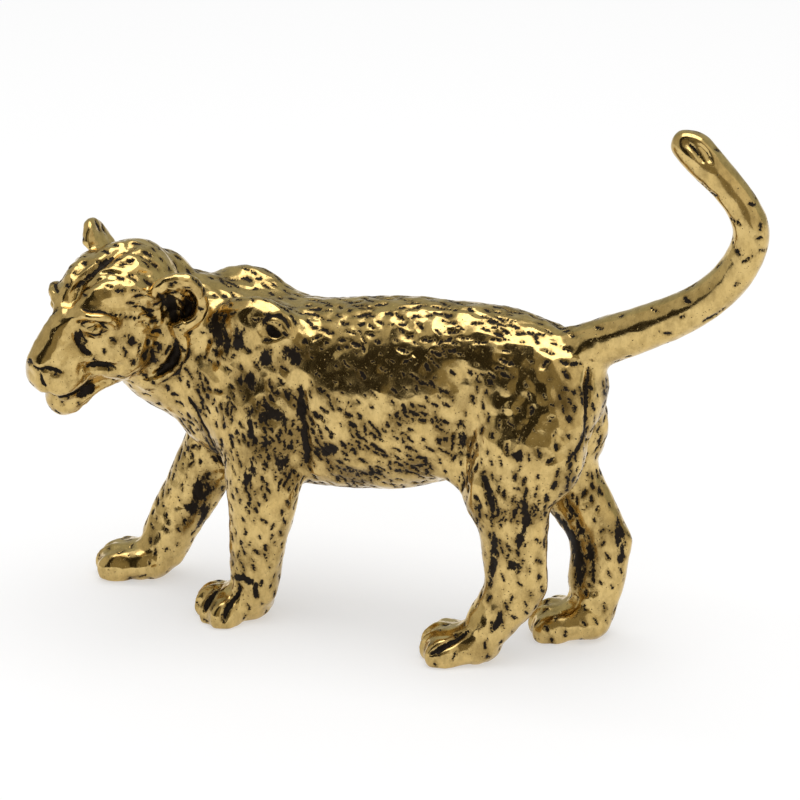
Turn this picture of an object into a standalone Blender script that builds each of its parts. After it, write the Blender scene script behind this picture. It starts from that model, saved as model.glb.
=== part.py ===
"""A small lioness cast in brass as one solid piece, walking, with her head turned to her left.

Run it with: blender --background --python part.py
Metres, +Z up. She faces -X, and her left side is -Y. The origin is on the ground
under the middle of the casting. The forms are blocked out as a sculptor does it,
in overlapping masses, then fused, smoothed and carved.
"""

import math

import bmesh
import bpy
import numpy as np
from mathutils import Matrix, Vector

MM = 0.001

# Trunk, in millimetres. X runs from head to tail, and heights start at the ground.
SHOULDER_X = -12.5
HIP_X = 13.5
BACK_HEIGHT = 31.9
SHOULDER_HEIGHT = 24.0
HIP_HEIGHT = 25.0
CHEST_DEPTH = 17.6
BELLY_DEPTH = 18.0
LOIN_DEPTH = 15.4
CHEST_HALF_WIDTH = 6.6
BELLY_HALF_WIDTH = 6.6
LOIN_HALF_WIDTH = 5.8
RUMP_HALF_WIDTH = 5.6

# Head: where it is held, how it is turned, and its own sizes.
HEAD_CENTRE = (-25.1, -4.5, 29.5)
HEAD_YAW = 61.0
HEAD_PITCH = 18.5
HEAD_ROLL = 12.0
SKULL_HALF_WIDTH = 4.9
SKULL_HEIGHT = 6.0
NOSE_REACH = 11.9
MUZZLE_HALF_WIDTH = 2.8
EAR_CENTRE = (-1.2, 6.3, 3.6)
RIGHT_EAR_WIDTH = 0.6
LEFT_EAR_WIDTH = 0.86
EAR_RADIUS = 3.3
EAR_RIM = 0.65
EAR_DEPTH = 1.5

# Paws and tail.
LEG_SPREAD = 4.6
PAW_HALF_WIDTH = 3.0
PAW_LENGTH = 7.6
PAW_HEIGHT = 3.9
TOE_RADIUS = 1.4
SOLE_DEPTH = 0.4
TAIL_RADIUS = 2.1
TAIL_REACH = 16.1
TAIL_RISE = 20.5
TUFT_RADIUS = 1.8

# How finely each stage of the fused clay is kept, and how far it is smoothed.
BODY_VOXEL = 0.50
BODY_PASSES = 36
LIMB_VOXEL = 0.36
LIMB_PASSES = 10
DETAIL_VOXEL = 0.30
DETAIL_PASSES = 4
TRIANGLES = 11600


def clear_scene():
    for thing in list(bpy.data.objects):
        bpy.data.objects.remove(thing, do_unlink=True)


def curved_through(stations, steps):
    """Rows along a Catmull-Rom curve through the stations."""
    rows = np.array(stations, float)
    rows = np.vstack([2 * rows[0] - rows[1], rows, 2 * rows[-1] - rows[-2]])
    made = []
    for i in range(1, len(rows) - 2):
        a, b, c, d = rows[i - 1 : i + 3]
        for k in range(steps):
            t = k / steps
            made.append(
                0.5
                * (
                    2 * b
                    + (c - a) * t
                    + (2 * a - 5 * b + 4 * c - d) * t**2
                    + (3 * b - a - 3 * c + d) * t**3
                )
            )
    made.append(rows[-2])
    return made


class Clay:
    """Closed forms that overlap, held in one mesh until they are fused."""

    def __init__(self):
        self.mesh = bmesh.new()

    def ball(self, centre, radii, turn=(0, 0, 0), frame=Matrix.Identity(4)):
        """An ellipsoid. turn holds degrees about the frame's X, Y and Z."""
        x, y, z = (math.radians(angle) for angle in turn)
        place = Matrix.Translation(Vector(centre) * MM)
        spin = Matrix.Rotation(z, 4, "Z") @ Matrix.Rotation(y, 4, "Y") @ Matrix.Rotation(x, 4, "X")
        size = Matrix.Diagonal((*(Vector(radii) * MM), 1.0))
        bmesh.ops.create_uvsphere(
            self.mesh, u_segments=28, v_segments=16, radius=1.0, matrix=frame @ place @ spin @ size
        )

    def limb(self, stations, side=(0, 1, 0), steps=5, frame=Matrix.Identity(4)):
        """A loft of oval rings along a smooth path, with rounded ends.

        A station is x, y, z, the ring's half width along side, and its half width across.
        """
        rows = curved_through(stations, steps)
        rings = []
        for i, row in enumerate(rows):
            before, after = rows[max(i - 1, 0)], rows[min(i + 1, len(rows) - 1)]
            rings.append((Vector(row[:3]), Vector((after - before)[:3]).normalized(), row[3], row[4]))
        ends = [(math.cos(math.radians(a)), math.sin(math.radians(a))) for a in (78, 60, 40, 20)]
        for rounded, at_start in ((ends, True), (ends[::-1], False)):
            centre, along, half_side, half_across = rings[0] if at_start else rings[-1]
            out = -along if at_start else along
            reach = min(half_side, half_across)
            caps = [
                (centre + out * reach * far, along, half_side * near, half_across * near)
                for near, far in rounded
            ]
            rings = caps + rings if at_start else rings + caps
        self.skin(rings, Vector(side), frame)

    def skin(self, rings, side, frame):
        loops = []
        for centre, along, half_side, half_across in rings:
            across = along.cross(side).normalized()
            beside = across.cross(along)
            basis = Matrix((beside * half_side, across * half_across, along)).transposed()
            place = Matrix.Translation(centre * MM) @ (basis * MM).to_4x4()
            circle = bmesh.ops.create_circle(self.mesh, segments=28, radius=1.0, matrix=frame @ place)
            loops.append(circle["verts"])
        for low, high in zip(loops, loops[1:]):
            for i in range(len(low)):
                j = (i + 1) % len(low)
                self.mesh.faces.new((low[i], low[j], high[j], high[i]))
        self.mesh.faces.new(list(reversed(loops[0])))
        self.mesh.faces.new(loops[-1])

    def fused(self, name, voxel, passes):
        """One object with the overlaps gone and its joins softened."""
        bmesh.ops.recalc_face_normals(self.mesh, faces=self.mesh.faces)
        mesh = bpy.data.meshes.new(name)
        self.mesh.to_mesh(mesh)
        self.mesh.free()
        solid = bpy.data.objects.new(name, mesh)
        bpy.context.scene.collection.objects.link(solid)
        remesh = solid.modifiers.new("fuse", "REMESH")
        remesh.mode = "VOXEL"
        remesh.voxel_size = voxel * MM
        relax = solid.modifiers.new("relax", "SMOOTH")
        relax.factor = 0.5
        relax.iterations = passes
        settle(solid)
        return solid

    def take(self, solid):
        """Adds a fused object to the clay, and removes it."""
        self.mesh.from_mesh(solid.data)
        bpy.data.objects.remove(solid, do_unlink=True)


def settle(solid):
    """Bakes an object's modifiers into its mesh."""
    graph = bpy.context.evaluated_depsgraph_get()
    made = bpy.data.meshes.new_from_object(solid.evaluated_get(graph))
    solid.modifiers.clear()
    old = solid.data
    solid.data = made
    bpy.data.meshes.remove(old)


def share(part):
    """A place along the trunk, from 0 at the shoulder to 1 at the hip."""
    return SHOULDER_X + part * (HIP_X - SHOULDER_X)


def model_trunk(clay):
    top = BACK_HEIGHT
    outline = [
        (HIP_X + 3.7, top - 1.8, 8.0, RUMP_HALF_WIDTH - 2.4),
        (HIP_X + 2.2, top - 0.2, 11.6, RUMP_HALF_WIDTH - 0.6),
        (HIP_X - 2.0, top + 0.7, LOIN_DEPTH - 1.2, RUMP_HALF_WIDTH),
        (share(0.78), top + 1.1, LOIN_DEPTH + 0.4, LOIN_HALF_WIDTH),
        (share(0.52), top + 0.8, BELLY_DEPTH + 0.5, BELLY_HALF_WIDTH),
        (share(0.28), top - 0.3, BELLY_DEPTH + 0.5, BELLY_HALF_WIDTH + 0.3),
        (share(0.06), top - 0.6, CHEST_DEPTH + 0.4, CHEST_HALF_WIDTH),
        (SHOULDER_X - 4.0, top - 0.6, CHEST_DEPTH - 0.6, CHEST_HALF_WIDTH - 0.4),
        (SHOULDER_X - 8.0, top - 1.2, CHEST_DEPTH - 3.0, CHEST_HALF_WIDTH - 1.6),
        (SHOULDER_X - 9.8, top - 2.8, CHEST_DEPTH - 6.2, CHEST_HALF_WIDTH - 2.6),
    ]
    clay.limb([(x, 0, high - deep / 2, wide, deep / 2) for x, high, deep, wide in outline])


def model_neck(clay):
    x, y, z = HEAD_CENTRE
    path = [
        (SHOULDER_X - 2.0, 0, SHOULDER_HEIGHT + 0.5, 5.6, 7.0),
        (SHOULDER_X - 6.0, -0.3, SHOULDER_HEIGHT + 0.7, 5.3, 6.9),
        (x + 3.4, y + 2.8, z - 4.3, 5.0, 6.3),
        (x + 0.6, y + 0.6, z - 1.6, 4.6, 5.0),
    ]
    clay.limb(path)
    nape = [
        (x + 1.2, y + 1.0, z - 0.3, 4.6, 4.4),
        (x + 4.6, y + 2.9, z - 0.9, 4.7, 4.3),
        (SHOULDER_X - 4.0, 0, BACK_HEIGHT - 4.7, 5.0, 4.4),
    ]
    clay.limb(nape)
    # The back of the skull, and the right side of the neck, which the head's turn stretches.
    clay.ball((-1.0, 0, 0.9), (4.8, SKULL_HALF_WIDTH - 0.3, SKULL_HEIGHT - 0.4), frame=head_frame())
    stretched = [
        (x + 3.0, y + 4.6, z - 0.7, 3.6, 3.8),
        (x + 5.6, y + 5.6, z - 2.4, 4.2, 4.4),
        (SHOULDER_X - 3.4, 1.6, BACK_HEIGHT - 5.6, 4.6, 4.6),
    ]
    clay.limb(stretched)


def model_shoulders(clay):
    top, out = SHOULDER_HEIGHT, LEG_SPREAD
    clay.ball((SHOULDER_X - 0.2, -out + 0.9, top + 2.8), (5.6, 2.7, 6.2), (10, 14, 0))
    clay.ball((SHOULDER_X + 0.1, -out - 0.2, top - 3.4), (4.7, 2.7, 6.2))
    clay.ball((SHOULDER_X - 3.8, out - 1.7, top + 2.5), (6.6, 3.0, 6.8), (6, 18, 0))
    clay.ball((SHOULDER_X - 3.6, out - 0.9, top - 1.6), (5.2, 3.0, 6.6), (4, 26, 0))
    clay.ball((SHOULDER_X - 4.2, out - 0.5, top - 4.4), (4.5, 2.6, 5.4), (0, 30, 0))


def carve_trunk(solid):
    """Hollows between the limbs and the trunk, the same on both sides."""
    world = Matrix.Identity(4)
    for hand in (-1, 1):
        side = hand * LOIN_HALF_WIDTH
        flank = [
            (HIP_X - 5.4, side, HIP_HEIGHT + 2.6),
            (HIP_X - 5.2, side, HIP_HEIGHT - 1.2),
            (HIP_X - 6.0, side, HIP_HEIGHT - 7.6),
        ]
        side = hand * CHEST_HALF_WIDTH
        elbow = [
            (SHOULDER_X + 5.0, side, SHOULDER_HEIGHT + 1.0),
            (SHOULDER_X + 5.2, side, SHOULDER_HEIGHT - 8.0),
        ]
        side = hand * (RUMP_HALF_WIDTH - 2.3)
        rump = [
            (HIP_X + 5.6, side * 0.7, HIP_HEIGHT + 4.2),
            (HIP_X + 5.8, side, HIP_HEIGHT + 1.4),
            (HIP_X + 5.9, side, HIP_HEIGHT - 3.2),
        ]
        carve(solid, world, flank, 1.5, 0.7)
        carve(solid, world, elbow, 1.4, 0.55)
        carve(solid, world, rump, 0.5, 0.5)


def carve_swirl(solid):
    """A whorl of hair on her left shoulder: a raised ring round a small pit."""
    world = Matrix.Identity(4)
    x, y, z = SHOULDER_X + 2.4, -LEG_SPREAD - 1.2, SHOULDER_HEIGHT + 6.0
    ring = []
    for angle in range(-30, 211, 40):
        a = math.radians(angle)
        ring.append((x + 1.3 * math.cos(a), y, z + 1.3 * math.sin(a)))
    carve(solid, world, ring, 0.45, -0.28)
    carve(solid, world, [(x - 0.4, y, z - 0.2), (x + 0.4, y, z - 0.2)], 0.6, 0.5)


def model_haunches(clay):
    top, out = HIP_HEIGHT, LEG_SPREAD
    clay.ball((HIP_X + 0.4, -out + 1.6, top - 0.6), (6.3, 2.9, 7.0), (-10, 4, 0))
    clay.ball((HIP_X + 0.2, -out + 0.6, top - 4.2), (5.9, 3.3, 5.8), (-4, 4, 0))
    clay.ball((HIP_X - 0.2, out - 1.6, top - 0.6), (5.8, 2.9, 7.0), (10, 4, 0))
    clay.ball((HIP_X + 0.2, out - 0.6, top - 4.2), (5.6, 3.3, 5.8), (4, 4, 0))
    # The fold of skin from the belly to each knee.
    for hand in (-1, 1):
        clay.ball((HIP_X - 5.0, hand * (out - 1.0), top - 7.3), (2.5, 2.2, 4.4), (0, -42, 0))


def model_front_legs(clay):
    top, out = SHOULDER_HEIGHT, LEG_SPREAD
    # Left leg: upright and carrying weight.
    clay.limb(
        [
            (SHOULDER_X + 0.8, -out - 0.3, top - 3.0, 2.7, 4.3),
            (SHOULDER_X + 0.7, -out - 0.4, top * 0.58, 2.7, 3.7),
            (SHOULDER_X + 0.2, -out - 0.2, top * 0.40, 2.4, 3.0),
            (SHOULDER_X - 0.3, -out, top * 0.25, 2.2, 2.6),
            (SHOULDER_X - 0.7, -out, top * 0.13, 2.2, 2.5),
        ]
    )
    # Right leg: reaching forward and in under the chest.
    clay.limb(
        [
            (SHOULDER_X - 4.6, out - 0.4, top - 4.0, 2.6, 4.2),
            (SHOULDER_X - 7.8, out - 1.0, top * 0.575, 2.5, 3.4),
            (SHOULDER_X - 9.9, out - 1.6, top * 0.40, 2.3, 2.95),
            (SHOULDER_X - 11.9, out - 2.3, top * 0.235, 2.15, 2.7),
            (SHOULDER_X - 13.1, out - 2.8, top * 0.12, 2.2, 2.6),
        ]
    )


def model_hind_legs(clay):
    top, out = HIP_HEIGHT, LEG_SPREAD
    # Left leg.
    clay.limb(
        [
            (HIP_X - 0.6, -out + 0.9, top - 4.0, 2.5, 4.9),
            (HIP_X - 1.2, -out, top * 0.67, 2.75, 4.6),
            (HIP_X - 0.6, -out - 0.1, top * 0.52, 2.35, 3.3),
            (HIP_X - 0.5, -out, top * 0.39, 2.1, 3.15),
            (HIP_X - 0.4, -out, top * 0.30, 2.1, 3.0),
            (HIP_X - 2.0, -out - 0.3, top * 0.19, 2.2, 2.45),
            (HIP_X - 3.4, -out - 0.6, top * 0.11, 2.3, 2.2),
        ]
    )
    clay.ball((HIP_X + 1.4, -out, top * 0.315), (1.4, 1.3, 1.8), (0, 20, 0))
    # Right leg, a little further back.
    clay.limb(
        [
            (HIP_X + 0.4, out - 1.0, top - 4.0, 2.6, 4.8),
            (HIP_X + 0.9, out - 0.3, top * 0.66, 2.75, 3.5),
            (HIP_X + 2.8, out - 0.2, top * 0.52, 2.25, 3.2),
            (HIP_X + 4.5, out - 0.2, top * 0.40, 2.1, 3.0),
            (HIP_X + 4.8, out - 0.4, top * 0.28, 2.1, 2.9),
            (HIP_X + 4.4, out - 0.7, top * 0.17, 2.2, 2.7),
            (HIP_X + 4.2, out - 0.8, top * 0.09, 2.3, 2.5),
        ]
    )
    clay.ball((HIP_X + 6.6, out - 0.3, top * 0.375), (1.5, 1.3, 1.9), (0, 18, 0))


PAWS = {
    "left front": ((SHOULDER_X - 2.5, -LEG_SPREAD + 0.2), 38),
    "right front": ((SHOULDER_X - 15.6, LEG_SPREAD - 3.5), 4),
    "left hind": ((HIP_X - 5.2, -LEG_SPREAD - 0.9), 12),
    "right hind": ((HIP_X + 2.6, LEG_SPREAD - 1.6), 6),
}
TOES = ((0.19, -0.72, 0.92), (0.27, -0.25, 1.0), (0.27, 0.25, 1.0), (0.19, 0.72, 0.92))


def paw_frame(place):
    """The paw's own frame: X towards its toes, Y to its left, Z up, on the ground."""
    (x, y), outward = place
    heading = math.radians(180 + outward)
    return Matrix.Translation(Vector((x, y, 0)) * MM) @ Matrix.Rotation(heading, 4, "Z")


def model_paw(clay, place):
    frame = paw_frame(place)
    low = -SOLE_DEPTH
    clay.ball(
        (-0.8, 0, low + PAW_HEIGHT / 2),
        (PAW_LENGTH * 0.40, PAW_HALF_WIDTH * 0.90, PAW_HEIGHT / 2 + 0.1),
        frame=frame,
    )
    for forward, aside, size in TOES:
        radius = TOE_RADIUS * size
        clay.ball(
            (forward * PAW_LENGTH, aside * PAW_HALF_WIDTH, low + radius * 1.22),
            (radius * 1.55, radius * 0.86, radius * 1.32),
            (0, 16, aside * 18),
            frame=frame,
        )


def carve_paw(solid, place):
    """Presses the clefts between the toes, from the ground up over the knuckles."""
    frame = paw_frame(place)
    tip, knuckle = 0.56 * PAW_LENGTH, 0.30 * PAW_LENGTH
    for aside in (-0.5, 0, 0.5):
        across = aside * PAW_HALF_WIDTH
        path = [
            (tip, across * 1.05, 0.2),
            (tip - 0.4, across * 1.05, 0.55 * PAW_HEIGHT),
            (knuckle, across, 0.95 * PAW_HEIGHT),
            (0, across * 0.8, PAW_HEIGHT + 0.3),
        ]
        carve(solid, frame, path, 0.45, 0.75)


def tail_root():
    return HIP_X + 3.4, BACK_HEIGHT - 2.6


def model_tail(clay):
    root_x, root_z = tail_root()
    thick, tuft = TAIL_RADIUS, TUFT_RADIUS
    # Each row is a share of the tail's reach, a share of its rise, and a radius.
    path = [
        (-0.06, -0.03, thick + 0.5),
        (0.17, 0.07, thick + 0.15),
        (0.44, 0.17, thick),
        (0.70, 0.29, thick - 0.2),
        (0.89, 0.44, thick - 0.3),
        (0.985, 0.61, thick - 0.4),
        (0.95, 0.73, thick - 0.5),
        (0.84, 0.84, thick - 0.55),
        (0.73, 0.92, tuft - 0.1),
        (0.65, 0.98, tuft),
        (0.60, 1.00, tuft - 0.3),
    ]
    clay.limb(
        [
            (root_x + along * TAIL_REACH, 0, root_z + rise * TAIL_RISE, girth, girth)
            for along, rise, girth in path
        ]
    )


def carve_tuft(solid):
    """Slits between the locks of hair at the tail's end."""
    root_x, root_z = tail_root()
    path = ((0.62, 1.03), (0.68, 0.995), (0.72, 0.95))
    for hand in (-1, 1):
        side = hand * 0.75 * TUFT_RADIUS
        for apart in (0.0, 0.6):
            slit = [
                (root_x + along * TAIL_REACH + apart, side, root_z + rise * TAIL_RISE + 0.3 * apart)
                for along, rise in path
            ]
            carve(solid, Matrix.Identity(4), slit, 0.3, 0.45)


def head_frame():
    """The head's own frame: X along the muzzle, Y to her left, Z up through the crown."""
    yaw, pitch, roll = (math.radians(a) for a in (HEAD_YAW, HEAD_PITCH, HEAD_ROLL))
    forward = Vector(
        (-math.cos(yaw) * math.cos(pitch), -math.sin(yaw) * math.cos(pitch), -math.sin(pitch))
    )
    level_left = Vector((math.sin(yaw), -math.cos(yaw), 0))
    level_up = forward.cross(level_left)
    left = level_left * math.cos(roll) - level_up * math.sin(roll)
    basis = Matrix((forward, left, forward.cross(left))).transposed().to_4x4()
    return Matrix.Translation(Vector(HEAD_CENTRE) * MM) @ basis


def model_head(clay):
    frame = head_frame()
    nose, wide = NOSE_REACH, MUZZLE_HALF_WIDTH
    # Skull and muzzle in one tapering mass, deep and square at the front.
    clay.limb(
        [
            (-3.4, 0, 0.4, SKULL_HALF_WIDTH - 1.4, SKULL_HEIGHT - 1.9),
            (-1.4, 0, 1.1, SKULL_HALF_WIDTH - 0.3, SKULL_HEIGHT - 0.3),
            (1.2, 0, 1.3, SKULL_HALF_WIDTH, SKULL_HEIGHT),
            (4.2, 0, 0.5, SKULL_HALF_WIDTH - 0.7, SKULL_HEIGHT - 0.8),
            (6.6, 0, 0.0, wide + 0.6, 4.1),
            (8.4, 0, -0.5, wide, 3.2),
            (nose - 2.5, 0, -0.8, wide - 0.1, 2.7),
        ],
        frame=frame,
    )
    clay.limb(
        [(3.6, 0, 4.4, 1.9, 1.4), (6.8, 0, 3.8, 1.6, 1.2), (nose - 1.5, 0, 1.4, 1.5, 1.0)],
        frame=frame,
    )
    # Lower jaw, ending in a full chin.
    clay.limb(
        [(1.6, 0, -4.0, 3.1, 1.9), (6.2, 0, -3.7, 2.6, 1.5), (nose - 3.6, 0, -4.3, 2.1, 1.9)],
        frame=frame,
    )
    clay.ball((nose - 2.7, 0, -4.6), (1.7, 1.8, 1.8), frame=frame)
    clay.ball((nose - 0.8, 0, 1.0), (0.8, 1.4, 1.0), frame=frame)
    for hand in (-1, 1):
        model_face_side(clay, frame, hand)
        model_ear(clay, frame, hand)


def model_face_side(clay, frame, hand):
    """Lip, brow ridge, upper lid, eye, cheekbone and the ruff behind the jaw."""
    nose = NOSE_REACH
    clay.ball((nose - 2.5, hand * 1.5, -1.5), (2.1, 1.6, 1.9), frame=frame)
    brow = [
        (5.9, hand * 0.7, 4.6, 1.0, 0.9),
        (4.4, hand * 1.5, 5.2, 1.3, 1.2),
        (2.8, hand * 2.3, 5.3, 1.4, 1.2),
        (1.2, hand * 3.2, 4.9, 1.2, 1.1),
        (0.0, hand * 3.9, 4.2, 0.8, 0.8),
    ]
    lid = [
        (6.7, hand * 1.4, 4.5, 0.5, 0.5),
        (6.1, hand * 2.5, 4.7, 0.7, 0.65),
        (5.1, hand * 3.3, 4.4, 0.7, 0.7),
        (4.2, hand * 3.7, 3.4, 0.6, 0.6),
    ]
    ruff = [
        (-0.9, hand * 6.0, 0.6, 0.7, 0.7),
        (-0.9, hand * 6.2, -1.7, 0.9, 0.9),
        (0.0, hand * 6.1, -3.1, 0.9, 0.9),
        (1.2, hand * 5.2, -4.3, 0.85, 0.85),
        (2.4, hand * 3.8, -5.2, 0.8, 0.8),
    ]
    clay.limb(brow, frame=frame)
    clay.limb(lid, frame=frame)
    clay.limb(ruff, side=(1, 0, 0), frame=frame)
    clay.ball((5.85, hand * 2.85, 3.1), (0.9, 0.85, 0.8), frame=frame)
    clay.ball((3.4, hand * 3.2, -0.6), (3.6, 2.0, 3.1), (0, 0, -hand * 12), frame=frame)
    clay.ball((-0.2, hand * 3.9, -1.6), (2.6, 1.9, 3.4), (hand * 20, 0, 0), frame=frame)


def ear_frame(frame, hand):
    """The ear's own frame: X out of its mouth, Y outwards from the head, Z up."""
    facing = Vector((0.60, hand * 0.79, 0.09)).normalized()
    upward = (Vector((0, 0, 1)) - facing * facing.z).normalized()
    outward = upward.cross(facing) * hand
    x, y, z = EAR_CENTRE
    place = Matrix.Translation(Vector((x, hand * y, z)) * MM)
    return frame @ place @ Matrix((facing, outward, upward)).transposed().to_4x4()


def model_ear(clay, frame, hand):
    """A cup, shallow at its tip and deep at its root: two rims, and a wall behind them."""
    cup = ear_frame(frame, hand)
    middle = EAR_RADIUS - EAR_RIM
    wide = LEFT_EAR_WIDTH if hand > 0 else RIGHT_EAR_WIDTH
    for back, narrow in ((0, 0), (0.6 * EAR_DEPTH, 0.2)):
        rim = []
        for angle in range(-105, 146, 25):
            a = math.radians(angle)
            across, up = (wide * middle - narrow) * math.cos(a), (middle - narrow) * math.sin(a)
            rim.append((-back * (1 - math.sin(a)), across, up, EAR_RIM, EAR_RIM))
        clay.limb(rim, side=(1, 0, 0), steps=2, frame=cup)
    wall = (0.9, wide * EAR_RADIUS - 0.2, EAR_RADIUS - 0.3)
    clay.ball((-EAR_DEPTH, -0.3, -0.3), wall, (0, 28, 0), frame=cup)


def carve(solid, frame, path, width, depth):
    """Presses a groove along a path, or raises a ridge where depth is negative."""
    mesh = solid.data
    points = np.empty(len(mesh.vertices) * 3)
    mesh.vertices.foreach_get("co", points)
    points = points.reshape(-1, 3)
    normals = np.empty(len(mesh.vertices) * 3)
    mesh.vertices.foreach_get("normal", normals)
    normals = normals.reshape(-1, 3)
    track = np.array([frame @ (Vector(row) * MM) for row in curved_through(path, 12)])
    reach = 2.5 * width * MM
    near = ((points > track.min(0) - reach) & (points < track.max(0) + reach)).all(1)
    gaps = np.linalg.norm(points[near][:, None] - track[None], axis=2).min(1)
    push = depth * MM * np.exp(-((gaps / (width * MM)) ** 2))
    points[near] -= normals[near] * push[:, None]
    mesh.vertices.foreach_set("co", points.ravel())
    mesh.update()


def carve_head(solid):
    frame = head_frame()
    nose = NOSE_REACH
    for hand in (-1, 1):
        hollow = [(7.5, hand * 2.0, 3.0), (7.4, hand * 2.4, 2.2), (7.1, hand * 2.9, 1.4)]
        under_lid = [(7.1, hand * 1.9, 3.9), (6.2, hand * 3.0, 4.0), (5.0, hand * 3.8, 3.5)]
        under_eye = [(7.0, hand * 2.4, 2.5), (6.0, hand * 3.2, 2.3), (5.0, hand * 3.8, 2.6)]
        cheek = [(8.0, hand * 2.7, 0.1), (6.6, hand * 3.3, -0.5), (5.2, hand * 4.4, -0.9)]
        lip = [
            (nose - 0.7, hand * 0.3, -2.7),
            (nose - 0.9, hand * 1.8, -2.2),
            (nose - 2.4, hand * 2.8, -2.3),
            (nose - 4.4, hand * 2.6, -3.0),
            (nose - 6.0, hand * 2.6, -3.6),
        ]
        before_ruff = [
            (0.2, hand * 6.2, -1.9),
            (0.4, hand * 6.1, -2.5),
            (0.9, hand * 5.8, -3.1),
            (2.0, hand * 4.9, -4.1),
        ]
        behind_ruff = [(-1.6, hand * 6.5, -1.8), (-1.1, hand * 6.5, -2.9), (0.4, hand * 6.0, -4.5)]
        carve(solid, frame, hollow, 0.7, 0.7)
        carve(solid, frame, under_lid, 0.35, 0.35)
        carve(solid, frame, under_eye, 0.35, 0.3)
        carve(solid, frame, cheek, 0.5, 0.55)
        carve(solid, frame, lip, 0.4, 0.8)
        carve(solid, frame, before_ruff, 0.5, 0.55)
        carve(solid, frame, behind_ruff, 0.6, 0.55)
    carve(solid, frame, [(nose - 0.2, 0, -0.3), (nose - 0.8, 0, -2.6)], 0.3, 0.4)
    carve(solid, frame, [(6.4, 0, 5.1), (3.4, 0, 6.2), (0.6, 0, 6.9), (-1.4, 0, 6.9)], 0.6, 0.8)


def lighten(solid):
    """Drops triangles where the surface is plain."""
    count = sum(len(face.vertices) - 2 for face in solid.data.polygons)
    fewer = solid.modifiers.new("lighten", "DECIMATE")
    fewer.ratio = TRIANGLES / count
    settle(solid)


def stand(solid):
    """Cuts the soles flat on the ground, and moves the origin under the middle."""
    shape = bmesh.new()
    shape.from_mesh(solid.data)
    everything = shape.verts[:] + shape.edges[:] + shape.faces[:]
    cut = bmesh.ops.bisect_plane(
        shape, geom=everything, dist=1e-6, plane_co=(0, 0, 0), plane_no=(0, 0, 1), clear_inner=True
    )
    rims = [e for e in cut["geom_cut"] if isinstance(e, bmesh.types.BMEdge)]
    bmesh.ops.holes_fill(shape, edges=rims, sides=0)
    bmesh.ops.triangulate(shape, faces=[f for f in shape.faces if len(f.verts) > 3])
    corners = np.array([v.co for v in shape.verts])
    low, high = corners.min(0), corners.max(0)
    middle = Vector(((low[0] + high[0]) / 2, (low[1] + high[1]) / 2, 0))
    bmesh.ops.translate(shape, verts=shape.verts, vec=-middle)
    print("origin moved by", [round(v / MM, 3) for v in middle], "triangles", len(shape.faces))
    shape.to_mesh(solid.data)
    shape.free()


def brass():
    material = bpy.data.materials.new("aged_brass")
    material.use_nodes = True
    shader = material.node_tree.nodes["Principled BSDF"]
    shader.inputs["Base Color"].default_value = (0.60, 0.40, 0.14, 1)
    shader.inputs["Metallic"].default_value = 1.0
    shader.inputs["Roughness"].default_value = 0.28
    return material


def main():
    clear_scene()
    body = Clay()
    model_trunk(body)
    model_shoulders(body)
    model_haunches(body)
    trunk = body.fused("trunk", BODY_VOXEL, BODY_PASSES)
    limbs = Clay()
    model_neck(limbs)
    model_front_legs(limbs)
    model_hind_legs(limbs)
    model_tail(limbs)
    limbs.take(trunk)
    figure = limbs.fused("figure", LIMB_VOXEL, LIMB_PASSES)
    detail = Clay()
    model_head(detail)
    for place in PAWS.values():
        model_paw(detail, place)
    detail.take(figure)
    lioness = detail.fused("lioness", DETAIL_VOXEL, DETAIL_PASSES)
    carve_trunk(lioness)
    carve_swirl(lioness)
    carve_tuft(lioness)
    carve_head(lioness)
    for place in PAWS.values():
        carve_paw(lioness, place)
    lighten(lioness)
    stand(lioness)
    lioness.data.materials.clear()
    lioness.data.materials.append(brass())
    lioness.data.shade_smooth()


main()
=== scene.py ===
import math

import bmesh
import bpy
import numpy as np
from mathutils import Matrix, Vector
from mathutils.bvhtree import BVHTree


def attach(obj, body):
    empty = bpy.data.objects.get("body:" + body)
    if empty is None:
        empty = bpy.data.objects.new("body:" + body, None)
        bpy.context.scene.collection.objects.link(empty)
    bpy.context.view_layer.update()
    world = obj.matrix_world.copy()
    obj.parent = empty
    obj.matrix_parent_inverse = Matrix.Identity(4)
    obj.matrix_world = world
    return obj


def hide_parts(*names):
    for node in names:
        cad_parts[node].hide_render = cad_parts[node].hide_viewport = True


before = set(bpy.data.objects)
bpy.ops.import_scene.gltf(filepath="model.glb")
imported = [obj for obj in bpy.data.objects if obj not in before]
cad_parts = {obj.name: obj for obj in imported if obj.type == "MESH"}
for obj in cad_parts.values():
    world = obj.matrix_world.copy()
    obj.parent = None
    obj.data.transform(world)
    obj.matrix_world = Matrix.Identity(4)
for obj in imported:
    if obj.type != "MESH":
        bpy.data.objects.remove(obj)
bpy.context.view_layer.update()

# A small cast brass lioness. The casting comes from the frame as one solid.
# Here its skin is made finer, modelled, tooled and given its old patina, with painted shade and painted dark
# reflections in some places.

mm = 0.001
moved = (-0.942, 3.949, 0)  # mm from the middle of the drawing to the frame's origin
print("frame loaded")


def linear(code):  # an sRGB hex colour as the shader wants it
    parts = [int(code[i : i + 2], 16) / 255 for i in (1, 3, 5)]
    parts = [c / 12.92 if c <= 0.04045 else ((c + 0.055) / 1.055) ** 2.4 for c in parts]
    return (*parts, 1)


def pickOnly(piece):
    bpy.ops.object.select_all(action="DESELECT")
    piece.select_set(True)
    bpy.context.view_layer.objects.active = piece


def finished(piece):  # its place goes into its mesh
    pickOnly(piece)
    bpy.ops.object.transform_apply(location=True, rotation=True, scale=True)
    return piece


def onModel(x, y, z):  # a place in the drawing, in mm, as a place on the model
    return Vector((x + moved[0], y + moved[1], z + moved[2])) * mm


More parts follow.
